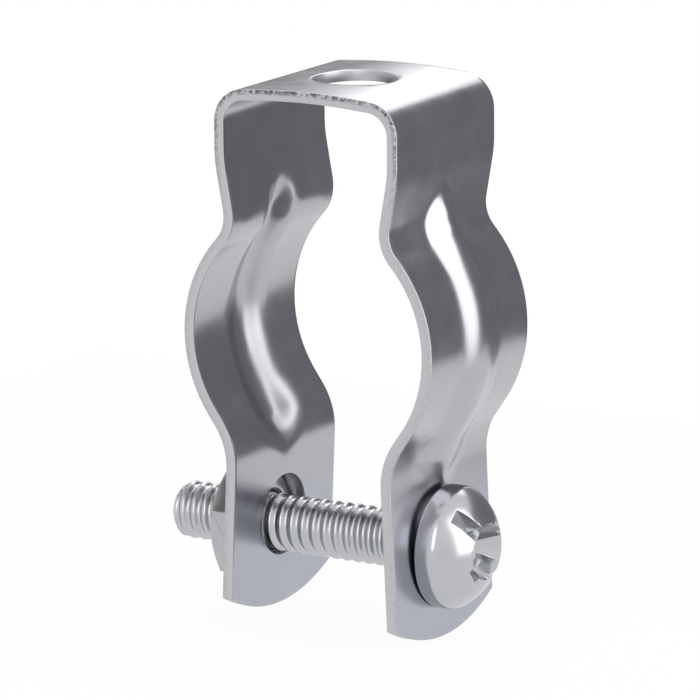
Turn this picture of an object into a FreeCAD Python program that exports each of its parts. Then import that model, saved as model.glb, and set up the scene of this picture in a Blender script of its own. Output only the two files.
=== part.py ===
import FreeCAD, Part
import math, os

# Conduit hanger: one bent and ribbed strip of zinc-plated steel, hung by the hole in
# its crown, with a machine screw and a hex nut that close its two legs on a conduit.
# X runs along the screw towards its head, Y along the conduit, and Z up through the
# crown's hole. The origin is on the conduit's axis, midway across the strip.
# All lengths are in millimetres and all angles in degrees.

V = FreeCAD.Vector

# Strip stock and the conduit that it holds
strip_thickness = 0.91          # 20 gauge steel
strip_width = 15.88             # 5/8 in
conduit_radius = 10.67          # 1/2 in rigid conduit, 0.840 in across

# Bends of one leg, from the crown down; the radii are on the strip's inner side
crown_height = 19.92            # inner corner where the two halves of the crown meet
crown_radius = 60.0
crown_rise = 0.6                # of its middle above the inner corners of crown and legs
shoulder_radius = 1.9
leg_half_gap = 7.58             # middle plane to the leg's inner face
knee_height = 14.48             # where the leg starts to lean inwards
knee_radius = 10.3
knee_lean = 10.1
upper_neck_radius = 3.75        # runs straight into the seat
lower_flank = 35.0              # slope of the seat's straight run below the axis
lower_neck_radius = 6.4
tab_half_gap = 7.11             # middle plane to the tab's inner face, at the screw
tab_lean = 2.6                  # outwards, going down
tab_end_drop = 24.55            # conduit axis to the middle of the tabs' rounded ends
end_stagger = 0.35              # the right end is this much lower, and the left end higher
tab_end_radius = 16.2

# Stiffening rib, pressed outwards along the middle of each leg
rib_half_width = 2.3
rib_height = 0.9
rib_top = 10.6                  # heights of the centres of its rounded ends
rib_bottom = -9.4

# Punched holes
crown_hole_radius = 3.45        # clears a 1/4 in hanging bolt
tab_hole_radius = 3.4
tab_hole_drop = 16.6            # conduit axis to the tab holes' centres

# Screw and nut, No. 10 with 24 threads to the inch
screw_radius = 2.41
screw_length = 25.4             # under the head
screw_hang = 0.75               # how far the loose screw hangs below the holes' centres
tip_chamfer = 0.6
head_gap = 0.3                  # between the right tab and the loose screw's head
nut_gap = 0.05                  # between the left tab and the nut
head_radius = 5.08
head_rim = 0.83
head_height = 4.15
head_corner_radius = 1.2        # between the head's rim and its flatter top
slot_width = 1.55
slot_depth = 2.05
cross_width = 1.4
cross_reach = 2.9               # half the length of the cross recess's arms
cross_depth = 2.3
cross_floor_radius = 2.0
cross_flare = 25.0              # how far the ends of the arms lean outwards
core_depth = 2.8                # the round hollow in the middle of the cross
core_floor_radius = 1.2
core_flare = 26.5
recess_turn = -51.0
nut_across_flats = 9.53
nut_thickness = 3.18
nut_face_radius = 4.5           # round land that the corner chamfers leave on each face
nut_chamfer = 30.0
nut_turn = 17.0                 # one corner stands this far above the front
nut_clearance = 0.05            # around the screw

half_thickness = strip_thickness / 2
past = 5.0                      # how far cutting tools run past what they cut
rib_margin = 1.0                # the same for the sheath that trims the ribs
shortest_edge = 0.001
screw_drop = tab_hole_drop + screw_hang


def slope(angle):
    """Unit vector in XZ, turned up from +X."""
    return V(math.cos(math.radians(angle)), 0, math.sin(math.radians(angle)))


def meet(point_a, along_a, point_b, along_b):
    """Point where two lines in the XZ plane cross."""
    gap = point_b - point_a
    turn = along_a.x * along_b.z - along_a.z * along_b.x
    return point_a + along_a * ((gap.x * along_b.z - gap.z * along_b.x) / turn)


def leg_corners():
    """Corners of the right leg's centre line with the bend radius at each."""
    seat_radius = conduit_radius + half_thickness
    shoulder = V(leg_half_gap + half_thickness, 0, crown_height - crown_rise + half_thickness)
    knee = V(shoulder.x, 0, knee_height)
    tab = V(tab_half_gap + half_thickness, 0, -screw_drop)
    along_leg = slope(-90 - knee_lean)
    neck_radius = upper_neck_radius - half_thickness
    beside_knee = knee + slope(-knee_lean) * neck_radius
    ahead = beside_knee.dot(along_leg)
    apart = seat_radius + neck_radius
    run = -ahead - math.sqrt(ahead ** 2 - beside_knee.dot(beside_knee) + apart ** 2)
    neck_centre = beside_knee + along_leg * run
    upper_flank = math.degrees(math.atan2(neck_centre.z, neck_centre.x))
    seat_above = slope(upper_flank) * seat_radius
    seat_below = slope(-lower_flank) * seat_radius
    along_above = slope(upper_flank - 90)
    along_below = slope(-lower_flank - 90)
    along_tab = slope(-90 + tab_lean)
    end = meet(tab, along_tab, V(0, 0, -tab_end_drop - end_stagger - past), V(1, 0, 0))
    return [
        (shoulder, shoulder_radius + half_thickness),
        (knee, knee_radius + half_thickness),
        (meet(knee, along_leg, seat_above, along_above), neck_radius),
        (meet(seat_above, along_above, seat_below, along_below), seat_radius),
        (meet(seat_below, along_below, tab, along_tab), lower_neck_radius - half_thickness),
        (end, 0),
    ]


def centre_line():
    """The whole strip's corners, from the left tab over the crown to the right tab."""
    right = leg_corners()
    left = [(V(-corner.x, 0, corner.z), radius) for corner, radius in reversed(right)]
    crown = (V(0, 0, crown_height + half_thickness), crown_radius + half_thickness)
    return left + [crown] + right


def strip_line(offset):
    """Edges that follow the strip at a distance outside its centre line."""
    corners = centre_line()
    edges = []
    start = None
    for (before, _), (corner, radius), (after, _) in zip(corners, corners[1:], corners[2:]):
        ahead = (corner - before).normalize()
        onward = (after - corner).normalize()
        outwards = V(-ahead.z, 0, ahead.x)
        outwards_next = V(-onward.z, 0, onward.x)
        side = 1 if ahead.x * onward.z - ahead.z * onward.x > 0 else -1
        run = radius * math.tan(ahead.getAngle(onward) / 2)
        centre = corner - ahead * run + outwards * (side * radius)
        bend_in = corner - ahead * run + outwards * offset
        bend_out = corner + onward * run + outwards_next * offset
        bend_mid = centre + (corner - centre).normalize() * (radius - side * offset)
        if start is None:
            start = before + outwards * offset
        if (bend_in - start).Length > shortest_edge:
            edges.append(Part.LineSegment(start, bend_in).toShape())
        edges.append(Part.Arc(bend_in, bend_mid, bend_out).toShape())
        start = bend_out
    edges.append(Part.LineSegment(start, corners[-1][0] + outwards_next * offset).toShape())
    return edges


def band(inner, outer, width):
    """Solid between two offsets of the strip's centre line."""
    near = strip_line(inner)
    far = strip_line(outer)
    ends = [
        Part.LineSegment(near[0].firstVertex().Point, far[0].firstVertex().Point).toShape(),
        Part.LineSegment(near[-1].lastVertex().Point, far[-1].lastVertex().Point).toShape(),
    ]
    outline = Part.Wire(Part.__sortEdges__(near + far + ends))
    face = Part.Face(outline)
    face.translate(V(0, -width / 2, 0))
    return face.extrude(V(0, width, 0))


def flat_outline():
    """The strip's outline seen along X, as one solid for each leg, with its rounded lower end."""
    half = strip_width / 2
    top = crown_height + strip_thickness + past
    reach = conduit_radius + strip_thickness + rib_height + past
    halves = []
    for side in (1, -1):
        lowest = -tab_end_drop - side * end_stagger
        corner = lowest + tab_end_radius - math.sqrt(tab_end_radius ** 2 - half ** 2)
        points = [V(0, half, corner), V(0, half, top), V(0, -half, top), V(0, -half, corner)]
        edges = [Part.LineSegment(a, b).toShape() for a, b in zip(points, points[1:])]
        edges.append(Part.Arc(points[-1], V(0, 0, lowest), points[0]).toShape())
        halves.append(Part.Face(Part.Wire(edges)).extrude(V(side * reach, 0, 0)))
    return halves[0].fuse(halves[1])


def rib_tool(side, radius, centre_offset):
    """Round-ended bar that follows one leg; side is 1 for the right leg, -1 for the left."""
    reach = conduit_radius + strip_thickness
    window = Part.makeBox(reach, strip_width, rib_top - rib_bottom)
    window.translate(V(0 if side > 0 else -reach, -strip_width / 2, rib_bottom))
    line = Part.Wire(strip_line(centre_offset)).common(window)
    bar = None
    for edge in line.Edges:
        start = edge.valueAt(edge.FirstParameter)
        ring = Part.Circle(start, edge.tangentAt(edge.FirstParameter), radius)
        disc = Part.Face(Part.Wire(ring.toShape()))
        if isinstance(edge.Curve, Part.Circle):
            turn = math.degrees(edge.LastParameter - edge.FirstParameter)
            piece = disc.revolve(edge.Curve.Center, edge.Curve.Axis, turn)
        else:
            piece = disc.extrude(edge.valueAt(edge.LastParameter) - start)
        bar = piece if bar is None else bar.fuse(piece)
    heights = sorted(line.Vertexes, key=lambda vertex: vertex.Z)
    for end in (heights[0], heights[-1]):
        bar = bar.fuse(Part.makeSphere(radius, end.Point))
    return bar


def hanger_strap():
    strap = band(-half_thickness, half_thickness, strip_width).common(flat_outline())
    rib_radius = (rib_half_width ** 2 + rib_height ** 2) / (2 * rib_height)
    rib_centre = half_thickness + rib_height - rib_radius
    outside = band(0, half_thickness + rib_height + rib_margin, strip_width)
    for side in (1, -1):
        strap = strap.fuse(rib_tool(side, rib_radius, rib_centre).common(outside))
    for side in (1, -1):
        strap = strap.cut(rib_tool(side, rib_radius - strip_thickness, rib_centre))
    crown_top = crown_height + strip_thickness + past
    strap = strap.cut(Part.makeCylinder(crown_hole_radius, 2 * past, V(0, 0, crown_top - 2 * past)))
    reach = conduit_radius + past
    strap = strap.cut(Part.makeCylinder(tab_hole_radius, 2 * reach, V(-reach, 0, -tab_hole_drop), V(1, 0, 0)))
    return strap


def bearing_x(radius, gap):
    """How far out a round face of this radius lies, with a gap to the leaning tab."""
    lean = math.radians(tab_lean)
    outer_at_screw = tab_half_gap + half_thickness + half_thickness / math.cos(lean)
    return outer_at_screw + radius * math.tan(lean) + gap


def clamp_screw():
    bearing = bearing_x(head_radius, head_gap)
    tip = bearing - screw_length
    rim = bearing + head_rim
    top = bearing + head_height
    rise = head_height - head_rim
    inset = head_radius - head_corner_radius
    top_radius = (rise ** 2 + inset ** 2 - head_corner_radius ** 2) / (2 * (rise - head_corner_radius))
    corner_centre = V(rim, 0, inset)
    top_centre = V(top - top_radius, 0, 0)
    towards = (corner_centre - top_centre).normalize()
    steepest = math.degrees(math.atan2(towards.z, towards.x))
    joint = top_centre + towards * top_radius
    corner_mid = corner_centre + slope((90 + steepest) / 2) * head_corner_radius
    top_mid = top_centre + slope(steepest / 2) * top_radius
    outline = [
        Part.LineSegment(V(tip, 0, 0), V(tip, 0, screw_radius - tip_chamfer)).toShape(),
        Part.LineSegment(V(tip, 0, screw_radius - tip_chamfer), V(tip + tip_chamfer, 0, screw_radius)).toShape(),
        Part.LineSegment(V(tip + tip_chamfer, 0, screw_radius), V(bearing, 0, screw_radius)).toShape(),
        Part.LineSegment(V(bearing, 0, screw_radius), V(bearing, 0, head_radius)).toShape(),
        Part.LineSegment(V(bearing, 0, head_radius), V(rim, 0, head_radius)).toShape(),
        Part.Arc(V(rim, 0, head_radius), corner_mid, joint).toShape(),
        Part.Arc(joint, top_mid, V(top, 0, 0)).toShape(),
        Part.LineSegment(V(top, 0, 0), V(tip, 0, 0)).toShape(),
    ]
    screw = Part.Face(Part.Wire(outline)).revolve(V(0, 0, 0), V(1, 0, 0), 360)
    return place_on_screw_line(screw.cut(drive_recess(top)), recess_turn)


def drive_recess(top):
    """Slot, cross and round core in one recess, sunk along -X from the top of the head."""
    slot = Part.makeBox(slot_depth, 2 * head_radius, slot_width)
    slot.translate(V(top - slot_depth, -head_radius, -slot_width / 2))
    level = Part.makeBox(cross_depth, 2 * cross_reach, cross_width)
    level.translate(V(top - cross_depth, -cross_reach, -cross_width / 2))
    upright = level.copy()
    upright.rotate(V(0, 0, 0), V(1, 0, 0), 90)
    arms = level.fuse(upright).common(well(top, cross_depth, cross_floor_radius, cross_flare))
    core = well(top, core_depth, core_floor_radius, core_flare)
    return slot.fuse(arms).fuse(core)


def well(top, depth, floor_radius, flare):
    """Round hollow that widens towards the top of the head."""
    mouth_radius = floor_radius + depth * math.tan(math.radians(flare))
    return Part.makeCone(floor_radius, mouth_radius, depth, V(top - depth, 0, 0), V(1, 0, 0))


def clamp_nut():
    inner = -bearing_x(nut_face_radius, nut_gap)
    corner_radius = nut_across_flats / 2 / math.cos(math.pi / 6)
    corners = []
    for step in range(7):
        angle = math.radians(180 - nut_turn + 60 * step)
        corners.append(V(inner, corner_radius * math.cos(angle), corner_radius * math.sin(angle)))
    nut = Part.Face(Part.makePolygon(corners)).extrude(V(-nut_thickness, 0, 0))
    rise = past / math.tan(math.radians(nut_chamfer))
    for face_x, inwards in ((inner, -1), (inner - nut_thickness, 1)):
        cone = Part.makeCone(
            nut_face_radius, nut_face_radius + rise, past, V(face_x, 0, 0), V(inwards, 0, 0)
        )
        nut = nut.common(cone)
    bore = Part.makeCylinder(
        screw_radius + nut_clearance, nut_thickness + 2 * past, V(inner + past, 0, 0), V(-1, 0, 0)
    )
    return place_on_screw_line(nut.cut(bore), 0)


def place_on_screw_line(shape, turn):
    """Turns a shape about the X axis and lowers it to the screw's line."""
    shape.rotate(V(0, 0, 0), V(1, 0, 0), turn)
    shape.translate(V(0, 0, -screw_drop))
    return shape


def main():
    os.makedirs("parts", exist_ok=True)
    pieces = {
        "hanger_strap": hanger_strap(),
        "clamp_screw": clamp_screw(),
        "clamp_nut": clamp_nut(),
    }
    for name, shape in pieces.items():
        box = shape.BoundBox
        shape.exportStep("parts/" + name + ".step")
        print(name, shape.isValid(), len(shape.Solids), "solid", round(shape.Volume, 2), "mm3",
              [round(v, 2) for v in (box.XMin, box.YMin, box.ZMin, box.XMax, box.YMax, box.ZMax)])


main()
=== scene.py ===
# %% [markdown]
# # A conduit hanger
# The hanger is a bent strip of zinc-plated steel. A bolt goes through the hole in its
# crown, a conduit lies between its two bowed legs, and a screw with a nut pulls the
# legs together. The CAD model gives every size. Here each piece is made again with the
# detail that a camera sees: a soft pressed rib, sheared edges, rolled threads and plating.

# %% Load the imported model
import bpy
import bmesh
import math
from mathutils import Matrix, Vector


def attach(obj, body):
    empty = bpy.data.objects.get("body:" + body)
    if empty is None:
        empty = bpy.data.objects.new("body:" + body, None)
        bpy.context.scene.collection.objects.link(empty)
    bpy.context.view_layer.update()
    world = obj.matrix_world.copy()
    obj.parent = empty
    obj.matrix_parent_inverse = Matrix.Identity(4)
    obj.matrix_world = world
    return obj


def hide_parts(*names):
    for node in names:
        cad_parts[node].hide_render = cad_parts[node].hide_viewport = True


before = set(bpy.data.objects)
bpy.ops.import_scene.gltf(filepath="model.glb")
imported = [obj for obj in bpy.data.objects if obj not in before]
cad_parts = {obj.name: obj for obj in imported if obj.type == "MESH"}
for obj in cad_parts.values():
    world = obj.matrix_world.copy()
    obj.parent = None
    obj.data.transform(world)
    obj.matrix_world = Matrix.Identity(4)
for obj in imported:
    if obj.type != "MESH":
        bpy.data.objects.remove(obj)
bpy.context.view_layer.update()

# %% [markdown]
# Sizes are written in millimetres, as on the drawing, and Blender works in metres, so
# one factor turns them. A few helpers save repetition: one selects a single object, which
# every operator needs, one adds a modifier and applies it at once, one opens a piece in
# edit mode, and one prints how large a piece has become.

# %% Units and helpers
MM = 0.001


def only(piece):
    """Selects one object alone and makes it the active one."""
    if bpy.context.object and bpy.context.object.mode != "OBJECT":
        bpy.ops.object.mode_set(mode="OBJECT")
    bpy.ops.object.select_all(action="DESELECT")
    piece.select_set(True)
    bpy.context.view_layer.objects.active = piece


def apply_modifier(piece, kind, **settings):
    """Adds one modifier with its settings and applies it."""
    only(piece)
    modifier = piece.modifiers.new(kind.title(), kind)
    for setting, value in settings.items():
        setattr(modifier, setting, value)
    bpy.ops.object.modifier_apply(modifier=modifier.name)


def edit(piece, mode):
    """Opens a piece in edit mode with nothing selected and returns its mesh for selecting."""
    only(piece)
    bpy.ops.object.mode_set(mode="EDIT")
    bpy.ops.mesh.select_mode(type=mode)
    bpy.ops.mesh.select_all(action="DESELECT")
    return bmesh.from_edit_mesh(piece.data)


def print_size(piece):
    """Prints a piece's lowest and highest corner in millimetres, and its number of faces."""
    places = [vertex.co / MM for vertex in piece.data.vertices]
    low = [round(min(place[axis] for place in places), 2) for axis in range(3)]
    high = [round(max(place[axis] for place in places), 2) for axis in range(3)]
    print(piece.name, low, high, len(piece.data.polygons), "faces")


# %% [markdown]
# The strip is bent along one line, seen from the side: tab, neck, bow for the conduit,
# neck, leg, crown, and the same again downwards. These are the sizes of the drawing.
# Heights are measured from the middle of the conduit, and gaps and radii at the strip's
# inner face. Each corner of the line has a bend radius.

# %% Sizes of the strip
strip_thickness = 0.91
strip_width = 15.88
conduit_radius = 10.67
crown_height = 19.92
crown_radius = 60.0
crown_rise = 0.6
shoulder_radius = 1.9
leg_half_gap = 7.58
knee_height = 14.48
knee_radius = 10.3
knee_lean = 10.1
upper_neck_radius = 3.75
lower_flank = 35.0
lower_neck_radius = 6.4
tab_half_gap = 7.11
tab_lean = 2.6
tab_end_drop = 24.55
end_stagger = 0.35
screw_drop = 17.35
half_thickness = strip_thickness / 2
print("strip", strip_width, "mm wide and", strip_thickness, "mm thick")

# %% [markdown]
# Corners between straight runs describe a bent strip best, because a press brake works
# the same way: it needs the place of each bend and its radius. A corner is where the
# lines of two runs cross. The upper neck touches the bow with no straight run between
# them, so its centre is looked for along the leg until both arcs just meet.

# %% Corners of a leg


def slope(angle):
    """Unit vector turned up from the X axis, in degrees."""
    return Vector((math.cos(math.radians(angle)), math.sin(math.radians(angle))))


def meet(point_a, along_a, point_b, along_b):
    """Point where two lines cross."""
    gap = point_b - point_a
    return point_a + along_a * (gap.cross(along_b) / along_a.cross(along_b))


def leg_corners(lowest):
    """Corners of the right leg's bending line, each with its bend radius."""
    seat_radius = conduit_radius + half_thickness
    shoulder = Vector((leg_half_gap + half_thickness, crown_height - crown_rise + half_thickness))
    knee = Vector((shoulder.x, knee_height))
    tab = Vector((tab_half_gap + half_thickness, -screw_drop))
    along_leg = slope(-90 - knee_lean)
    neck_radius = upper_neck_radius - half_thickness
    beside_knee = knee + slope(-knee_lean) * neck_radius
    ahead = beside_knee.dot(along_leg)
    apart = seat_radius + neck_radius
    run = -ahead - math.sqrt(ahead ** 2 - beside_knee.dot(beside_knee) + apart ** 2)
    neck_centre = beside_knee + along_leg * run
    upper_flank = math.degrees(math.atan2(neck_centre.y, neck_centre.x))
    seat_above = slope(upper_flank) * seat_radius
    seat_below = slope(-lower_flank) * seat_radius
    along_above = slope(upper_flank - 90)
    along_below = slope(-lower_flank - 90)
    along_tab = slope(-90 + tab_lean)
    return [
        (shoulder, shoulder_radius + half_thickness),
        (knee, knee_radius + half_thickness),
        (meet(knee, along_leg, seat_above, along_above), neck_radius),
        (meet(seat_above, along_above, seat_below, along_below), seat_radius),
        (meet(seat_below, along_below, tab, along_tab), lower_neck_radius - half_thickness),
        (meet(tab, along_tab, Vector((0, lowest)), Vector((1, 0))), 0),
    ]


right_leg = leg_corners(-tab_end_drop - end_stagger)
left_leg = [(Vector((-corner.x, corner.y)), radius)
            for corner, radius in reversed(leg_corners(-tab_end_drop + end_stagger))]
crown = (Vector((0, crown_height + half_thickness)), crown_radius + half_thickness)
corners = left_leg + [crown] + right_leg
print("bending line has", len(corners), "corners and ends")

# %% [markdown]
# The flat blank can only follow a line that is drawn as many short steps, so the straight
# runs and the arcs between them are divided evenly. The steps are about an eighth of the
# strip's thickness, which is too short to see.

# %% Bending line in short steps
line_step = 0.12


def straight_run(start, end):
    """Even steps from one point to another, without the first point."""
    count = max(1, round((end - start).length / line_step))
    return [start.lerp(end, i / count) for i in range(1, count + 1)]


def bend(start, ahead, radius, turn):
    """Even steps round an arc that leaves a point straight ahead, without the first point."""
    to_centre = Vector((-ahead.y, ahead.x)) * math.copysign(radius, turn)
    count = max(2, round(radius * abs(turn) / line_step))
    points = []
    for i in range(1, count + 1):
        spoke = -to_centre
        spoke.rotate(Matrix.Rotation(turn * i / count, 2))
        points.append(start + to_centre + spoke)
    return points


line = [corners[0][0]]
for (before, _), (corner, radius), (after, _) in zip(corners, corners[1:], corners[2:]):
    ahead = (corner - before).normalized()
    onward = (after - corner).normalized()
    turn = math.atan2(ahead.cross(onward), ahead.dot(onward))
    bend_start = corner - ahead * radius * math.tan(abs(turn) / 2)
    line += straight_run(line[-1], bend_start)
    line += bend(bend_start, ahead, radius, turn)
line += straight_run(line[-1], corners[-1][0])
along = [0.0]
for a, b in zip(line, line[1:]):
    along.append(along[-1] + (b - a).length)
blank_length = along[-1]
print("blank", round(blank_length, 2), "mm long in", len(line) - 1, "steps")

# %% [markdown]
# Holes and ribs are marked out on the flat strip, but the drawing gives their heights on
# the bent one. So a height on the left or right leg is turned into a distance along the
# strip. From here on -1 stands for the left leg and 1 for the right.

# %% Distances along the strip


def crossing(i, before, after):
    """Distance along the strip at which a value that changes its sign in step i is zero."""
    return along[i - 1] + (along[i] - along[i - 1]) * before / (before - after)


def along_at(side, height):
    """Distance along the strip at which it passes a height on one leg."""
    for i in range(1, len(line)):
        before, after = line[i - 1].y - height, line[i].y - height
        if line[i - 1].x * side > 0 and before * after <= 0 and before != after:
            return crossing(i, before, after)


crown_at = next(crossing(i, line[i - 1].x, line[i].x)
                for i in range(1, len(line)) if line[i - 1].x < 0 <= line[i].x)
print("crown at", round(crown_at, 2), "mm from the left end")

# %% [markdown]
# In the factory the strip starts flat: the holes and the round ends are punched, and the
# rib is pressed in. The same order works well in Blender, because a flat grid is easy to
# punch, and its even faces follow every later bend.

# %% Flat grid
cell = 0.33
columns = round(blank_length / cell)
rows = round(strip_width / cell / 2) * 2

bpy.ops.object.select_all(action="DESELECT")
bpy.ops.mesh.primitive_grid_add(x_subdivisions=columns, y_subdivisions=rows, size=1)
blank = bpy.context.object
blank.name = "strap_sheet"
bpy.ops.object.mode_set(mode="EDIT")
bpy.ops.transform.resize(value=(blank_length * MM, strip_width * MM, 1))
bpy.ops.transform.translate(value=(blank_length * MM / 2, 0, 0))
print("grid of", columns, "by", rows, "faces")

# %% [markdown]
# Each hole is a square window in the grid whose border is extruded inwards, ring by
# ring, until it is a circle. A boolean would leave long thin triangles here, and they
# would show in the reflections. The rings keep the faces around the hole even.

# %% Punch the holes
crown_hole_radius = 3.45
tab_hole_radius = 3.4
tab_hole_drop = 16.6
window_margin = 0.9
hole_rings = 4
hair = 1e-9


def beside(point, centre):
    """How far a point is from a place of the strip, along it or across it, the larger of both."""
    return max(abs(point.x - centre * MM), abs(point.y))


def punch(centre, radius):
    """Cuts a window in the grid around a place of the strip and closes it in to a circle."""
    reach = (radius + window_margin) * MM
    faces = edit(blank, "FACE")
    for face in faces.faces:
        face.select_set(beside(face.calc_center_median(), centre) < reach)
    bpy.ops.mesh.delete(type="FACE")
    edges = edit(blank, "EDGE")
    for edge in edges.edges:
        middle = (edge.verts[0].co + edge.verts[1].co) / 2
        edge.select_set(edge.is_boundary and beside(middle, centre) < reach + cell * MM)
    window = [v.co.copy() for v in edges.verts if v.select]
    low_x, high_x = min(p.x for p in window), max(p.x for p in window)
    half_x, half_y = (high_x - low_x) / 2, max(p.y for p in window)
    middle = Vector(((high_x + low_x) / 2, 0, 0))
    target = Vector((centre * MM, 0, 0))
    for ring in range(1, hole_rings + 1):
        bpy.ops.mesh.extrude_edges_move(TRANSFORM_OT_translate={"value": (0, 0, 0)})
        for vertex in bmesh.from_edit_mesh(blank.data).verts:
            if vertex.select:
                spoke = vertex.co - middle.lerp(target, (ring - 1) / hole_rings)
                square = spoke * min(half_x / max(abs(spoke.x), hair), half_y / max(abs(spoke.y), hair))
                circle = target + spoke.normalized() * radius * MM
                vertex.co = (middle + square).lerp(circle, ring / hole_rings)
    bmesh.update_edit_mesh(blank.data)
    print("hole at", round(centre, 2), "with", len(window), "points")


punch(crown_at, crown_hole_radius)
for side in (-1, 1):
    punch(along_at(side, -tab_hole_drop), tab_hole_radius)
edit(blank, "FACE")
bpy.ops.mesh.select_all(action="SELECT")
bpy.ops.mesh.normals_make_consistent(inside=False)
if sum(face.normal.z for face in bmesh.from_edit_mesh(blank.data).faces) < 0:
    bpy.ops.mesh.flip_normals()
bpy.ops.object.mode_set(mode="OBJECT")
upwards = sum(face.normal.z > 0.5 for face in blank.data.polygons)
print("faces that look up", upwards, "of", len(blank.data.polygons))

# %% [markdown]
# The ends of the tabs are cut to a large arc. The grid's last few millimetres are drawn
# back to it, less and less with the distance from the end, so that no face is squeezed.
# The flat sheet is also the only moment at which its map has no stretch, so the map is
# laid now, with its middle at the crown.

# %% Round the ends and lay the flat map
tab_end_radius = 16.2
end_zone = 3.0
map_width = 100

for vertex in blank.data.vertices:
    drop = (tab_end_radius - math.sqrt(tab_end_radius ** 2 - (vertex.co.y / MM) ** 2)) * MM
    from_left = vertex.co.x / MM
    from_right = blank_length - from_left
    if from_left < end_zone:
        vertex.co.x += drop * (1 - from_left / end_zone)
    elif from_right < end_zone:
        vertex.co.x -= drop * (1 - from_right / end_zone)

flat = blank.data.uv_layers.active or blank.data.uv_layers.new(name="flat")
for loop in blank.data.loops:
    place = blank.data.vertices[loop.vertex_index].co / MM
    flat.data[loop.index].uv = ((place.x - crown_at) / map_width + 0.5, place.y / map_width + 0.5)
print("blank has", len(blank.data.polygons), "faces")

# %% [markdown]
# A rib stiffens each leg. It is pressed from the inside, so the sheet keeps its thickness
# and only its line moves outwards. It is narrow at the top and widens downwards, with a
# soft foot on both sides. Its ends taper off: `above` and `below` are the lengths beyond
# them, and the power that joins them with the distance from the middle gives the end its
# form, 2 for a round end and less for a pointed one. Both necks are hollows across the
# rib, which the press tool spans, so there the rib is filled up over a short length. Beside
# it a low and wide skirt rises at the upper neck, where the sheet was pulled along.

# %% Shape of the ribs
rib_height = 0.8
rib_low_height = {-1: 0.8, 1: 0.6}
rib_foot_at_top = 2.6
rib_foot_at_bottom = 4.3
rib_top = {-1: 9.5, 1: 10.2}
rib_bottom = {-1: -8.0, 1: -9.4}
top_stretch = {-1: 1.4, 1: 1.0}
top_point = {-1: 2.0, 1: 1.35}
bottom_point = 1.35
upper_neck_height, upper_fill, upper_fill_length = 8.7, 0.35, 2.6
lower_neck_height, lower_fill, lower_fill_length = -8.6, 0.35, 3.0
skirt_height, skirt_rise, skirt_length, skirt_width = 8.8, 0.25, 2.0, 6.5

rib_ends = {side: (along_at(side, rib_top[side]), along_at(side, rib_bottom[side]))
            for side in (-1, 1)}
neck_fills = {side: ((along_at(side, upper_neck_height), upper_fill, upper_fill_length),
                     (along_at(side, lower_neck_height), lower_fill, lower_fill_length))
              for side in (-1, 1)}
skirt_at = {side: along_at(side, skirt_height) for side in (-1, 1)}


def hump(distance, length):
    """A soft rise: 1 in its middle, and little beyond its length."""
    return math.exp(-(distance / length) ** 2)


def flank(share):
    """1 on the crest, falling to 0 at the foot, where the share is 1."""
    return math.cos(math.pi / 2 * min(share, 1))


def rib_lift(side, x, y):
    """How far the sheet is pressed out at a place of the flat strip, in millimetres."""
    top, bottom = rib_ends[side]
    down = min(max((x - top) / (bottom - top), 0), 1)
    foot = rib_foot_at_top + (rib_foot_at_bottom - rib_foot_at_top) * down
    above = max((top - x) * side / top_stretch[side], 0)
    below = max((x - bottom) * side, 0)
    point = top_point[side] if above > 0 else bottom_point
    reach = ((above + below) ** point + abs(y) ** point) ** (1 / point)
    crest = rib_height + (rib_low_height[side] - rib_height) * down
    crest += sum(fill * hump(x - place, length) for place, fill, length in neck_fills[side])
    skirt = skirt_rise * flank(abs(y) / skirt_width) * hump(x - skirt_at[side], skirt_length)
    return crest * flank(reach / foot) ** 2 + skirt


print("ribs run from", [[round(place, 2) for place in ends] for ends in rib_ends.values()])

# %% [markdown]
# A vertex group holds how much of the height each point gets, one Displace modifier then
# raises the ribs, and the group has done its work. Thickness comes later, so both faces
# of the sheet follow the rib.

# %% Press the ribs
least_lift = 0.002
most_lift = rib_height + upper_fill + skirt_rise

press = blank.vertex_groups.new(name="rib")
for side in (-1, 1):
    for vertex in blank.data.vertices:
        lift = rib_lift(side, vertex.co.x / MM, vertex.co.y / MM)
        if lift > least_lift:
            press.add([vertex.index], lift / most_lift, "REPLACE")
apply_modifier(blank, "DISPLACE", vertex_group="rib", strength=most_lift * MM, mid_level=0)
blank.vertex_groups.remove(blank.vertex_groups["rib"])
print("ribs up to", most_lift, "mm high")

# %% [markdown]
# Colours are written as on a colour chart, in sRGB, and shaders calculate in linear
# light, so one function turns them. Materials are built from nodes, and one helper adds a
# node with its settings, values and links, which keeps each material short.

# %% Colours and nodes


def linear(code):
    """Turns an sRGB hex colour into the linear values that Blender expects."""
    values = [int(code[i:i + 2], 16) / 255 for i in (1, 3, 5)]
    return [v / 12.92 if v <= 0.04045 else ((v + 0.055) / 1.055) ** 2.4 for v in values] + [1]


def add_node(tree, kind, inputs=(), **settings):
    """Adds a node. Each input, given by its name or number, gets a value or a link."""
    node = tree.nodes.new(kind)
    for setting, value in settings.items():
        setattr(node, setting, value)
    for place, value in dict(inputs).items():
        if isinstance(value, bpy.types.NodeSocket):
            tree.links.new(value, node.inputs[place])
        else:
            node.inputs[place].default_value = value
    return node


def new_material(name):
    """A material with an empty node tree and its output node."""
    material = bpy.data.materials.new(name)
    material.use_nodes = True
    material.node_tree.nodes.clear()
    return material, material.node_tree, material.node_tree.nodes.new("ShaderNodeOutputMaterial")


print("a mid grey is", [round(v, 3) for v in linear("#808080")])

# %% [markdown]
# Bright zinc plating on steel is a soft mirror: it is metallic throughout, grey, and
# rough enough that reflections have soft borders. The steel's grain shows through as fine
# lines, and the plating is a little duller and darker in clouds about 2 mm wide. Towards
# the tabs the film that passivates the zinc drained and is thicker, which can tint it.
# A colour Mix node takes its factor at input 0 and its colours at inputs 6 and 7.

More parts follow.
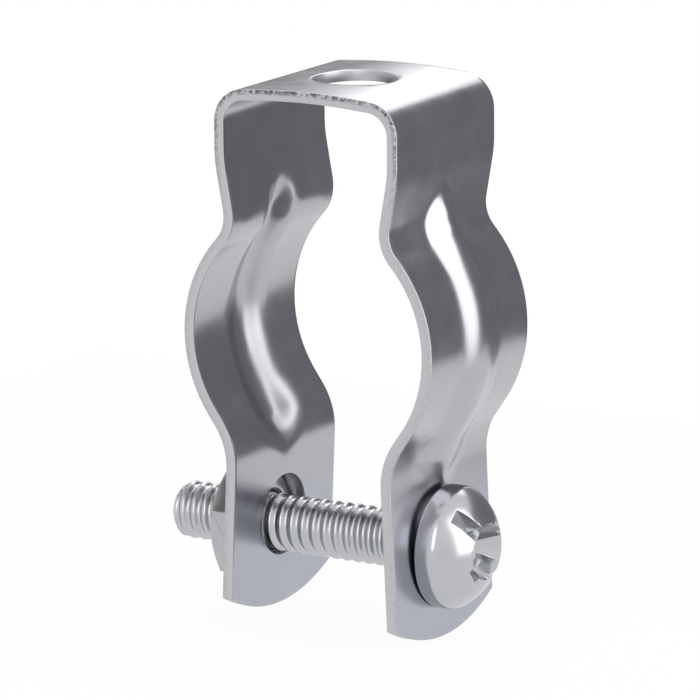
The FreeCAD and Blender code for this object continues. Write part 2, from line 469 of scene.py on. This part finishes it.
# %% Zinc plate
clouds_per_mm = 0.45
cloud_noise = (0.3, 0.7)
cloud_roughness = (0.9, 1.12)
cloud_shade = (0.965, 1.03)
drained_heights = (-20, -7)
grain_relief = 0.01


def plated(name, colour, low_colour, roughness, grain_per_mm, bump):
    """Zinc plate with grain along one axis, soft clouds, and another tint low down."""
    material, tree, output = new_material(name)
    place = add_node(tree, "ShaderNodeTexCoord").outputs["Object"]
    grain = add_node(tree, "ShaderNodeMapping",
                     {"Vector": place, "Scale": [count / MM for count in grain_per_mm]})
    lines = add_node(tree, "ShaderNodeTexNoise",
                     {"Vector": grain.outputs[0], "Scale": 1.0, "Detail": 1.0})
    raised = add_node(tree, "ShaderNodeBump", {"Height": lines.outputs["Fac"], "Strength": bump,
                                               "Distance": grain_relief * MM})
    cloud = add_node(tree, "ShaderNodeTexNoise",
                     {"Vector": place, "Scale": clouds_per_mm / MM, "Detail": 3.0})
    cloudy = {"Value": cloud.outputs["Fac"], "From Min": cloud_noise[0], "From Max": cloud_noise[1]}
    dull = add_node(tree, "ShaderNodeMapRange", {**cloudy, "To Min": roughness * cloud_roughness[0],
                                                 "To Max": roughness * cloud_roughness[1]})
    shade = add_node(tree, "ShaderNodeMapRange",
                     {**cloudy, "To Min": cloud_shade[0], "To Max": cloud_shade[1]})
    height = add_node(tree, "ShaderNodeSeparateXYZ", {"Vector": place}).outputs["Z"]
    drained = add_node(tree, "ShaderNodeMapRange",
                       {"Value": height, "From Min": drained_heights[0] * MM,
                        "From Max": drained_heights[1] * MM, "To Min": 1.0, "To Max": 0.0})
    film = add_node(tree, "ShaderNodeMix",
                    {0: drained.outputs[0], 6: linear(colour), 7: linear(low_colour)},
                    data_type="RGBA")
    tone = add_node(tree, "ShaderNodeVectorMath",
                    {"Vector": film.outputs[2], "Scale": shade.outputs[0]}, operation="SCALE")
    shader = add_node(tree, "ShaderNodeBsdfPrincipled",
                      {"Base Color": tone.outputs[0], "Metallic": 1.0,
                       "Roughness": dull.outputs[0], "Normal": raised.outputs[0]})
    tree.links.new(shader.outputs[0], output.inputs[0])
    return material


# %% [markdown]
# A shear cuts smoothly for the first part of the thickness, and then the metal tears. So
# the strip's edge is smooth along its inner half and dark and pitted along its outer half.
# It is torn most at the crown and little on the legs, and only along the strip's sides,
# not in the holes near its middle. Each of these conditions is a share from 0 to 1, and
# their product says where the edge is torn. The attribute `across` runs from 0 at the
# inner face to 1 at the outer one. The pits are drawn about 0.3 mm wide, a little coarser
# than real ones, so that they show.

# %% Sheared edge
torn_across = (0.45, 0.8)
torn_heights = (12, 19)
torn_on_legs = 0.15
side_edge_from = (4, 6)
pits_per_mm = 3.6
pit_noise = (0.6, 0.4)
pit_depth = 0.04
pit_strength = 0.9
edge_roughness = 0.42


def sheared(name, colour, torn_colour):
    """A sheared and plated edge: a smooth inner half and a torn, speckled outer half."""
    material, tree, output = new_material(name)
    place = add_node(tree, "ShaderNodeTexCoord").outputs["Object"]
    across = add_node(tree, "ShaderNodeAttribute", attribute_name="across").outputs["Fac"]
    axes = add_node(tree, "ShaderNodeSeparateXYZ", {"Vector": place}).outputs
    off_middle = add_node(tree, "ShaderNodeMath", {0: axes["Y"]}, operation="ABSOLUTE").outputs[0]
    torn = 1.0
    for measure, (start, end), unit, least in ((across, torn_across, 1, 0.0),
                                               (axes["Z"], torn_heights, MM, torn_on_legs),
                                               (off_middle, side_edge_from, MM, 0.0)):
        share = add_node(tree, "ShaderNodeMapRange", {"Value": measure, "From Min": start * unit,
                                                      "From Max": end * unit, "To Min": least})
        torn = add_node(tree, "ShaderNodeMath", {0: torn, 1: share.outputs[0]},
                        operation="MULTIPLY").outputs[0]
    speckle = add_node(tree, "ShaderNodeTexNoise", {"Vector": place, "Scale": pits_per_mm / MM,
                                                    "Detail": 3.0, "Roughness": 0.6}).outputs["Fac"]
    spots = add_node(tree, "ShaderNodeMapRange", {"Value": speckle, "From Min": pit_noise[0],
                                                  "From Max": pit_noise[1]})
    dark = add_node(tree, "ShaderNodeMath", {0: torn, 1: spots.outputs[0]}, operation="MULTIPLY")
    tone = add_node(tree, "ShaderNodeMix",
                    {0: dark.outputs[0], 6: linear(colour), 7: linear(torn_colour)},
                    data_type="RGBA")
    pits = add_node(tree, "ShaderNodeMath", {0: torn, 1: speckle}, operation="MULTIPLY")
    raised = add_node(tree, "ShaderNodeBump", {"Height": pits.outputs[0], "Strength": pit_strength,
                                               "Distance": pit_depth * MM})
    shader = add_node(tree, "ShaderNodeBsdfPrincipled",
                      {"Base Color": tone.outputs[2], "Metallic": 1.0,
                       "Roughness": edge_roughness, "Normal": raised.outputs[0]})
    tree.links.new(shader.outputs[0], output.inputs[0])
    return material


# %% [markdown]
# The four finishes differ in how the steel under the zinc was made. The number of grain
# lines per millimetre is given along X, Y and Z. Rolling and forming leave marks of a few
# hundredths of a millimetre, which are drawn coarser here so that they show.

# %% The four finishes
# Cold-rolled strip: lines 0.25 mm wide and 3 mm long that run down the legs, which blur
# reflections sideways more than up and down. The tint at the tabs is bluish.
strip_zinc = plated("bright_zinc_on_rolled_strip", "#b3b2b7", "#adb0b9", 0.24, (4, 4, 0.3), 0.04)

# Sheared strip: duller and lighter than the faces, with a dark grey torn band.
edge_zinc = sheared("zinc_on_sheared_edge", "#bfbec2", "#646266")

# Rolled thread and headed blank: spots 0.4 mm wide with no direction, and a lighter plate.
screw_zinc = plated("bright_zinc_on_rolled_thread", "#c1bfc2", "#babcc0", 0.23, (2.5, 2.5, 2.5), 0.12)

# Cold-formed nut: like the screw, but glossier on its flats, and of one tint.
nut_zinc = plated("bright_zinc_on_formed_nut", "#b4b3b8", "#b4b3b8", 0.2, (2.5, 2.5, 2.5), 0.15)
print("finishes", [finish.name for finish in (strip_zinc, edge_zinc, screw_zinc, nut_zinc)])

# %% [markdown]
# The Solidify modifier turns the blank into a sheet with a rim, and puts the rim in a
# material slot of its own, so that it gets the sheared finish. It also marks the points
# of the inner face in a vertex group. A small bevel follows, because plating and tumbling
# leave no knife edge, and the rounding catches the light.

# %% Thickness and rounded edges
sheet_edge_round = 0.07

blank.data.materials.append(strip_zinc)
blank.data.materials.append(edge_zinc)
blank.vertex_groups.new(name="inner_side")
apply_modifier(blank, "SOLIDIFY", thickness=strip_thickness * MM, offset=0, use_even_offset=True,
               material_offset_rim=1, shell_vertex_group="inner_side")
apply_modifier(blank, "BEVEL", width=sheet_edge_round * MM, segments=2, limit_method="ANGLE",
               angle_limit=math.radians(50))
print("sheet has", len(blank.data.polygons), "faces")

# %% [markdown]
# Bending comes last, as in the factory. The Curve modifier lays the sheet along a curve
# that has the bending line's points. That curve lies flat, in X and Y, so the sheet is
# first turned on its edge, then bent, and then turned up with the line standing.

# %% Bend the strip
route = bpy.data.curves.new("bending_line", "CURVE")
route.dimensions = "2D"
spline = route.splines.new("POLY")
spline.points.add(len(line) - 1)
for point, place in zip(spline.points, line):
    point.co = (place.x * MM, place.y * MM, 0, 1)
bender = bpy.data.objects.new("bending_line", route)
bpy.context.scene.collection.objects.link(bender)

only(blank)
blank.rotation_euler.x = -math.pi / 2
bpy.ops.object.transform_apply(rotation=True)
apply_modifier(blank, "CURVE", object=bender, deform_axis="POS_X")
blank.rotation_euler.x = math.pi / 2
bpy.ops.object.transform_apply(rotation=True)
bpy.data.objects.remove(bender)
print_size(blank)

# %% [markdown]
# The inner side's vertex group becomes the attribute that the sheared finish reads. The
# group is looked up by name, because modifiers have rebuilt the mesh since it was made.

# %% Mark the sides and hand over the strip
across = blank.data.attributes.new("across", "FLOAT", "POINT")
inner_index = blank.vertex_groups["inner_side"].index
for vertex in blank.data.vertices:
    inner = any(member.group == inner_index and member.weight > 0.5 for member in vertex.groups)
    across.data[vertex.index].value = 0.0 if inner else 1.0
blank.vertex_groups.remove(blank.vertex_groups["inner_side"])
outside = sum(item.value > 0.5 for item in across.data)
print("outer side has", outside, "of", len(across.data), "points")
only(blank)
bpy.ops.object.shade_smooth_by_angle(angle=math.radians(35))
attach(blank, "strap")
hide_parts("hanger_strap")

# %% [markdown]
# The screw's thread was rolled and then plated, so its ridge is low and round. The Screw
# modifier winds a profile of exactly one pitch, and each turn joins the next. The winding
# starts a little more than one pitch below the tip, so that the flat cuts at the tip and
# under the head fall between its rings of points and close cleanly. Last, the ridge is
# pressed down to the chamfer at the tip.

# %% Thread of the screw
screw_radius = 2.41
screw_length = 25.4
pitch = 25.4 / 24
thread_depth = 0.32
tip_chamfer = 0.6
wound_below = 1.013
ridge_steps = 12
turn_steps = 40
weld = 0.001
cut_weld = 0.0001

bpy.ops.object.select_all(action="DESELECT")
profile = bpy.data.meshes.new("clamp_screw_thread")
ridge = []
for i in range(ridge_steps + 1):
    valley = 0.5 + 0.5 * math.cos(2 * math.pi * i / ridge_steps)
    ridge.append(((screw_radius - thread_depth * valley) * MM, 0, i / ridge_steps * pitch * MM))
profile.from_pydata(ridge, [(i, i + 1) for i in range(ridge_steps)], [])
thread = bpy.data.objects.new("clamp_screw_thread", profile)
bpy.context.scene.collection.objects.link(thread)
turns = math.ceil(screw_length / pitch) + 2
apply_modifier(thread, "SCREW", axis="Z", angle=2 * math.pi, screw_offset=pitch * MM,
               iterations=turns, steps=turn_steps, render_steps=turn_steps,
               use_merge_vertices=True, merge_threshold=weld * MM)
edit(thread, "VERT")
bpy.ops.mesh.select_all(action="SELECT")
bpy.ops.mesh.remove_doubles(threshold=weld * MM)
bpy.ops.transform.translate(value=(0, 0, -wound_below * pitch * MM))
for height, outwards in ((0.0, -1), (screw_length, 1)):
    bpy.ops.mesh.select_all(action="SELECT")
    bpy.ops.mesh.bisect(plane_co=(0, 0, height * MM), plane_no=(0, 0, outwards), use_fill=True,
                        clear_outer=True, threshold=cut_weld * MM)
bpy.ops.mesh.select_all(action="SELECT")
bpy.ops.mesh.normals_make_consistent(inside=False)
bpy.ops.object.mode_set(mode="OBJECT")
for vertex in thread.data.vertices:
    reach = math.hypot(vertex.co.x, vertex.co.y)
    allowed = (screw_radius - tip_chamfer) * MM + max(vertex.co.z, 0)
    if reach > allowed:
        vertex.co.x *= allowed / reach
        vertex.co.y *= allowed / reach
loose = sum(edge.is_loose for edge in thread.data.edges)
print("thread has", len(thread.data.polygons), "faces,", turns, "turns and", loose, "loose edges")

# %% [markdown]
# The head is a turned shape, and so are a few of the tools that cut the pieces below. One
# helper builds such a shape ring on ring: a circle is extruded up and resized to follow
# an outline. The pan head's outline is a short rim, a rounded corner and a domed top.
# It reaches a little below its bearing face, to leave as narrow a gap to the leaning tab
# as the real head does.

# %% Head of the screw
head_radius = 5.08
head_rim = 0.83
head_height = 4.15
head_corner_radius = 1.2
head_seat = 0.28
rim_round = 0.12
corner_steps = 10
dome_steps = 16
lathe_steps = 96


def ring_stack(name, outline, around):
    """A closed turned piece about Z: rings of given radius and height, with flat caps."""
    bpy.ops.object.select_all(action="DESELECT")
    radius, height = outline[0]
    bpy.ops.mesh.primitive_circle_add(vertices=around, radius=radius * MM, location=(0, 0, 0))
    piece = bpy.context.object
    piece.name = name
    edit(piece, "EDGE")
    bpy.ops.mesh.select_all(action="SELECT")
    bpy.ops.transform.translate(value=(0, 0, height * MM))
    bpy.ops.mesh.edge_face_add()
    bpy.ops.mesh.select_mode(type="FACE")
    for next_radius, next_height in outline[1:]:
        rise = (0, 0, (next_height - height) * MM)
        bpy.ops.mesh.extrude_region_move(TRANSFORM_OT_translate={"value": rise})
        bpy.ops.transform.resize(value=(next_radius / radius, next_radius / radius, 1))
        radius, height = next_radius, next_height
    bpy.ops.mesh.select_all(action="SELECT")
    bpy.ops.mesh.normals_make_consistent(inside=False)
    bpy.ops.object.mode_set(mode="OBJECT")
    return piece


def pan_outline():
    """Radius and height of the head's rings, from the bearing face to the top."""
    rise = head_height - head_rim
    inset = head_radius - head_corner_radius
    top_radius = (rise ** 2 + inset ** 2 - head_corner_radius ** 2) / (2 * (rise - head_corner_radius))
    steepest = math.atan2(inset, head_rim - (head_height - top_radius))
    rings = [(head_radius - rim_round, -head_seat),
             (head_radius - rim_round / 4, rim_round / 4 - head_seat),
             (head_radius, rim_round - head_seat),
             (head_radius, head_rim)]
    for i in range(1, corner_steps + 1):
        turn = math.pi / 2 - (math.pi / 2 - steepest) * i / corner_steps
        rings.append((inset + head_corner_radius * math.sin(turn),
                      head_rim + head_corner_radius * math.cos(turn)))
    for i in range(1, dome_steps + 1):
        turn = steepest * (1 - i / (dome_steps + 1))
        rings.append((top_radius * math.sin(turn), head_height - top_radius * (1 - math.cos(turn))))
    return rings


head = ring_stack("clamp_screw_head", pan_outline(), lathe_steps)
print_size(head)

# %% [markdown]
# The recess is stamped by one punch: a driver blade, a cross and a round core. Here the
# blade is a block that is longer than the head, so the slot runs out on both sides. Each
# arm of the cross is a block whose ends are tapered in, and the core is a cone. Exact
# booleans keep the sharp corners that a punch leaves, and a small bevel rounds their rims.
# Once in a while a boolean loses a face, so each result is tested before it is used.

# %% Recess in the head
slot_width = 1.55
slot_depth = 2.05
cross_width = 1.4
cross_depth = 2.3
cross_floor_radius = 2.0
cross_flare = 25.0
core_depth = 2.8
core_floor_radius = 1.2
core_flare = 26.5
core_steps = 64
floor_share = 0.85
punch_above = 1
head_edge_round = 0.06
boolean_attempts = 3


def combine(piece, tool, operation):
    """Applies an exact boolean and removes the tool. A result that isn't closed is made again."""
    before = piece.data.copy()
    for attempt in range(boolean_attempts):
        piece.data = before.copy()
        apply_modifier(piece, "BOOLEAN", object=tool, operation=operation, solver="EXACT")
        result = bmesh.new()
        result.from_mesh(piece.data)
        closed = all(edge.is_manifold for edge in result.edges)
        result.free()
        if closed:
            break
        print("attempt", attempt + 1, "left", piece.name, "open")
    bpy.data.objects.remove(tool)


def punch_block(length, width, depth, floor_length):
    """A block that reaches down from the head's top and is shorter and narrower at its floor."""
    bpy.ops.object.select_all(action="DESELECT")
    bpy.ops.mesh.primitive_cube_add(size=1)
    block = bpy.context.object
    edit(block, "FACE")
    bpy.ops.mesh.select_all(action="SELECT")
    bpy.ops.transform.resize(value=(length * MM, width * MM, depth * MM))
    bpy.ops.transform.translate(value=(0, 0, (head_height - depth / 2) * MM))
    faces = edit(block, "FACE")
    for face in faces.faces:
        face.select_set(face.normal.z < -0.9)
    bpy.ops.transform.resize(value=(floor_length / length, floor_share, 1))
    faces = edit(block, "FACE")
    for face in faces.faces:
        face.select_set(face.normal.z > 0.9)
    bpy.ops.mesh.extrude_region_move(TRANSFORM_OT_translate={"value": (0, 0, punch_above * MM)})
    bpy.ops.object.mode_set(mode="OBJECT")
    return block


blade = 3 * head_radius
arm_floor = 2 * cross_floor_radius
arm = arm_floor + 2 * cross_depth * math.tan(math.radians(cross_flare))
core_mouth = core_floor_radius + core_depth * math.tan(math.radians(core_flare))
core = ring_stack("core", [(core_floor_radius, head_height - core_depth), (core_mouth, head_height),
                           (core_mouth, head_height + punch_above)], core_steps)
for block, turn in ((punch_block(blade, slot_width, slot_depth, blade), 0),
                    (punch_block(arm, cross_width, cross_depth, arm_floor), 0),
                    (punch_block(arm, cross_width, cross_depth, arm_floor), 90),
                    (core, 0)):
    block.rotation_euler.z = math.radians(turn)
    bpy.context.view_layer.update()
    combine(head, block, "DIFFERENCE")
apply_modifier(head, "BEVEL", width=head_edge_round * MM, segments=2, limit_method="ANGLE",
               angle_limit=math.radians(30), use_clamp_overlap=True)
print("head has", len(head.data.polygons), "faces")

# %% [markdown]
# Head and thread are one piece of steel, so they are joined. The screw was made standing
# on its tip. It is laid on its side, turned about its own line until the slot stands as
# it should, and pushed through the tabs. They lean a little, so the head bears on its tab
# at one side only, and its place is worked out from there.

# %% Join head and thread, and lay the screw on its line
head_gap = 0.3
slot_turn = 39.0
lean = math.radians(tab_lean)
tab_face = tab_half_gap + half_thickness + half_thickness / math.cos(lean)
bearing = tab_face + head_radius * math.tan(lean) + head_gap

only(head)
head.location.z = screw_length * MM
bpy.ops.object.transform_apply(location=True)
only(thread)
head.select_set(True)
bpy.ops.object.join()
screw = bpy.context.object
screw.name = "clamp_screw_cut"
screw.rotation_euler = (0, math.pi / 2, 0)
bpy.ops.object.transform_apply(rotation=True)
screw.rotation_euler = (math.radians(slot_turn), 0, 0)
screw.location = ((bearing - screw_length) * MM, 0, -screw_drop * MM)
bpy.ops.object.transform_apply(rotation=True, location=True)
bpy.ops.object.shade_smooth_by_angle(angle=math.radians(32))
screw.data.materials.clear()
screw.data.materials.append(screw_zinc)
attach(screw, "screw")
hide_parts("clamp_screw")
print_size(screw)

# %% [markdown]
# The nut is a piece of hexagonal bar whose corners are turned off to a cone on both
# faces. A lathe shape with two cones keeps only what lies inside it, and a second one
# with countersunk mouths cuts the bore. Both the bar and the second shape are longer than
# the nut, because a boolean can lose a face that lies exactly on another. The bore is
# smooth, because its thread can't be seen.

# %% Shape of the nut
nut_across_flats = 9.53
nut_thickness = 3.18
nut_face_radius = 4.5
nut_chamfer = 30.0
nut_clearance = 0.05
lathe_margin = 0.5
bore_steps = 64
mouth = 0.3
bore_past = 1.0
bar_past = 1.0
nut_edge_round = 0.05
corner_radius = nut_across_flats / 2 / math.cos(math.pi / 6)
turned_radius = corner_radius + lathe_margin
bore_radius = screw_radius + nut_clearance

bpy.ops.object.select_all(action="DESELECT")
bpy.ops.mesh.primitive_cylinder_add(vertices=6, radius=corner_radius * MM,
                                    depth=(nut_thickness + 2 * bar_past) * MM,
                                    location=(0, 0, nut_thickness * MM / 2))
nut = bpy.context.object
nut.name = "clamp_nut_cut"
bpy.ops.object.transform_apply(location=True)
fall = (turned_radius - nut_face_radius) * math.tan(math.radians(nut_chamfer))
turned = ring_stack("turned", [(nut_face_radius, 0), (turned_radius, fall),
                               (turned_radius, nut_thickness - fall),
                               (nut_face_radius, nut_thickness)], lathe_steps)
combine(nut, turned, "INTERSECT")
wide = bore_radius + mouth + bore_past
bore = ring_stack("bore", [(wide, -bore_past), (bore_radius, mouth),
                           (bore_radius, nut_thickness - mouth),
                           (wide, nut_thickness + bore_past)], bore_steps)
combine(nut, bore, "DIFFERENCE")
apply_modifier(nut, "BEVEL", width=nut_edge_round * MM, segments=2, limit_method="ANGLE",
               angle_limit=math.radians(25))
print("nut has", len(nut.data.polygons), "faces")

# %% [markdown]
# The nut goes on the screw from the other side. Like the head, it touches its leaning tab
# at one side only. It is turned so that one of its corners stands just above the level,
# at the front, and the farthest point from its middle finds such a corner.

# %% Seat the nut
nut_turn = 17.0
nut_gap = 0.05
nut_face = -(tab_face + nut_face_radius * math.tan(lean) + nut_gap)

only(nut)
nut.rotation_euler = (0, -math.pi / 2, 0)
bpy.ops.object.transform_apply(rotation=True)
farthest = max(nut.data.vertices, key=lambda v: math.hypot(v.co.y, v.co.z)).co
nut.rotation_euler.x = math.radians(180 - nut_turn) - math.atan2(farthest.z, farthest.y)
nut.location = (nut_face * MM, 0, -screw_drop * MM)
bpy.ops.object.transform_apply(rotation=True, location=True)
bpy.ops.object.shade_smooth_by_angle(angle=math.radians(28))
nut.data.materials.clear()
nut.data.materials.append(nut_zinc)
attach(nut, "nut")
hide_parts("clamp_nut")
print_size(nut)

# %% [markdown]
# The camera stands where the photographer stood: a little above, to the front and right,
# with a long lens. Its place was found by matching the near and far edges of both legs.
# Its three axes are worked out from that direction and a slight roll.

# %% Camera
azimuth, elevation, roll = math.radians(30.731), math.radians(12.936), math.radians(-0.408)
distance = 432.98
aim = Vector((-0.618, 0, -2.0))
pixels_per_mm = 12.242
picture_width = 700
sensor_width = 36

level = Vector((math.cos(azimuth), math.sin(azimuth), 0))
front = Vector((math.sin(azimuth), -math.cos(azimuth), 0))
back = front * math.cos(elevation) + Vector((0, 0, math.sin(elevation)))
upright = back.cross(level)
right = level * math.cos(roll) + upright * math.sin(roll)
above = upright * math.cos(roll) - level * math.sin(roll)
lens = bpy.data.cameras.new("camera")
lens.sensor_width = sensor_width
lens.lens = sensor_width * pixels_per_mm * distance / picture_width
lens.clip_start = 0.01
lens.clip_end = 20
camera = bpy.data.objects.new("camera", lens)
bpy.context.scene.collection.objects.link(camera)
axes = Matrix((right, above, back)).transposed().to_4x4()
camera.matrix_world = Matrix.Translation((back * distance + aim) * MM) @ axes
bpy.context.scene.camera = camera
print("lens", round(lens.lens, 1), "mm")

# %% [markdown]
# A plain white studio. The world and the table are white to the camera, and the metal
# shows that white too, so a face that mirrors them comes out in the plating's own grey.
# A small share of the table keeps its matte shading, which holds the hanger's shadow. The
# table ends a hand's width behind the hanger, which decides how far down the legs the
# dark part reaches.

# %% White table and white world
table_top = -25.0
table_half = 75.0
table_colour = "#f2f2f2"
white_share = 0.94


def white_when_seen(tree, own):
    """Plain white where the camera or a mirror looks, and the surface's own shading for light."""
    rays = add_node(tree, "ShaderNodeLightPath").outputs
    mirrored = add_node(tree, "ShaderNodeMath",
                        {0: rays["Is Glossy Ray"], 1: rays["Is Transmission Ray"]},
                        operation="MAXIMUM")
    seen = add_node(tree, "ShaderNodeMath", {0: rays["Is Camera Ray"], 1: mirrored.outputs[0]},
                    operation="MAXIMUM")
    share = add_node(tree, "ShaderNodeMath", {0: seen.outputs[0], 1: white_share},
                     operation="MULTIPLY")
    white = add_node(tree, "ShaderNodeEmission", {"Color": (1, 1, 1, 1), "Strength": 1.0})
    return add_node(tree, "ShaderNodeMixShader",
                    {0: share.outputs[0], 1: own.outputs[0], 2: white.outputs[0]})


table_white, tree, output = new_material("white_table")
matte = add_node(tree, "ShaderNodeBsdfDiffuse", {"Color": linear(table_colour)})
tree.links.new(white_when_seen(tree, matte).outputs[0], output.inputs[0])
bpy.ops.object.select_all(action="DESELECT")
bpy.ops.mesh.primitive_plane_add(size=2 * table_half * MM, location=(0, 0, table_top * MM))
floor = bpy.context.object
floor.name = "floor"
floor.data.materials.append(table_white)

world = bpy.data.worlds.new("studio")
bpy.context.scene.world = world
world.use_nodes = True
tree = world.node_tree
tree.nodes.clear()
output = tree.nodes.new("ShaderNodeOutputWorld")
sky = add_node(tree, "ShaderNodeBackground", {"Color": (1, 1, 1, 1), "Strength": 1.0})
tree.links.new(sky.outputs[0], output.inputs[0])
print("table", 2 * table_half, "mm wide at", table_top, "mm")

# %% [markdown]
# In a wholly white studio polished metal has no form at all. Grey cards behind and above
# the hanger give it some: the upright faces mirror them and turn dark. Cards and
# softboxes are placed by the bearing and height at which the hanger sees them. The metal
# sees the cards and the camera doesn't, so they hide nothing from any side.

# %% Cards that the metal mirrors


def outward(bearing, rise, reach):
    """Place at a bearing from +X towards +Y, an elevation, both in degrees, and a distance."""
    b, r = math.radians(bearing), math.radians(rise)
    return Vector((math.cos(b) * math.cos(r), math.sin(b) * math.cos(r), math.sin(r))) * reach


def card(name, place, width, height, colour):
    """A flat matte card that faces the hanger and is clear to the camera."""
    material, tree, output = new_material(name)
    seen = add_node(tree, "ShaderNodeLightPath").outputs["Is Camera Ray"]
    matte = add_node(tree, "ShaderNodeBsdfDiffuse", {"Color": linear(colour)})
    clear = add_node(tree, "ShaderNodeBsdfTransparent", {"Color": (1, 1, 1, 1)})
    mixed = add_node(tree, "ShaderNodeMixShader", {0: seen, 1: matte.outputs[0], 2: clear.outputs[0]})
    tree.links.new(mixed.outputs[0], output.inputs[0])
    bpy.ops.object.select_all(action="DESELECT")
    bpy.ops.mesh.primitive_plane_add(size=1, location=place)
    piece = bpy.context.object
    piece.name = name
    piece.scale = (width, height, 1)
    piece.rotation_euler = place.to_track_quat("Z", "Y").to_euler()
    piece.data.materials.append(material)
    print(name, "at", [round(v, 2) for v in place])


card("grey_card", outward(65, 4, 0.27), 0.38, 0.33, "#858489")
card("low_back_card", outward(113, -10, 0.3), 0.22, 0.1, "#858489")
card("back_left_card", outward(131, 5, 0.33), 0.26, 0.12, "#7c7c7e")
card("upper_card", outward(196, 60, 0.4), 0.26, 0.26, "#7a7270")

# %% [markdown]
# A softbox gives a highlight with a clear border, and its brightness is that of its
# reflection: here one and a half to two times that of the white world. One on the right
# lights the ribs and the screw's head, one beside the camera the rounding of the head and
# the tops of the threads, and one at the back left the crown.

# %% Softboxes


def softbox(name, place, width, height, brightness):
    """An area lamp that faces the hanger, with the brightness of its face given."""
    lamp = bpy.data.lights.new(name, "AREA")
    lamp.shape = "RECTANGLE"
    lamp.size, lamp.size_y = width, height
    lamp.energy = brightness * math.pi * width * height
    box = bpy.data.objects.new(name, lamp)
    bpy.context.scene.collection.objects.link(box)
    box.location = place
    box.rotation_euler = place.to_track_quat("Z", "Y").to_euler()
    print(name, "with", round(lamp.energy, 2), "W")


softbox("right_softbox", outward(6, 15, 0.6), 0.52, 0.82, 1.5)
softbox("front_softbox", outward(-70, 24, 0.7), 0.25, 0.5, 1.5)
softbox("back_left_softbox", outward(100, 31, 0.8), 0.54, 0.5, 1.95)

# %% [markdown]
# The Standard view shows colours as they are written. The pieces have to fit the CAD
# model's box.

# %% Finish
scene = bpy.context.scene
scene.view_settings.view_transform = "Standard"
bpy.context.view_layer.update()
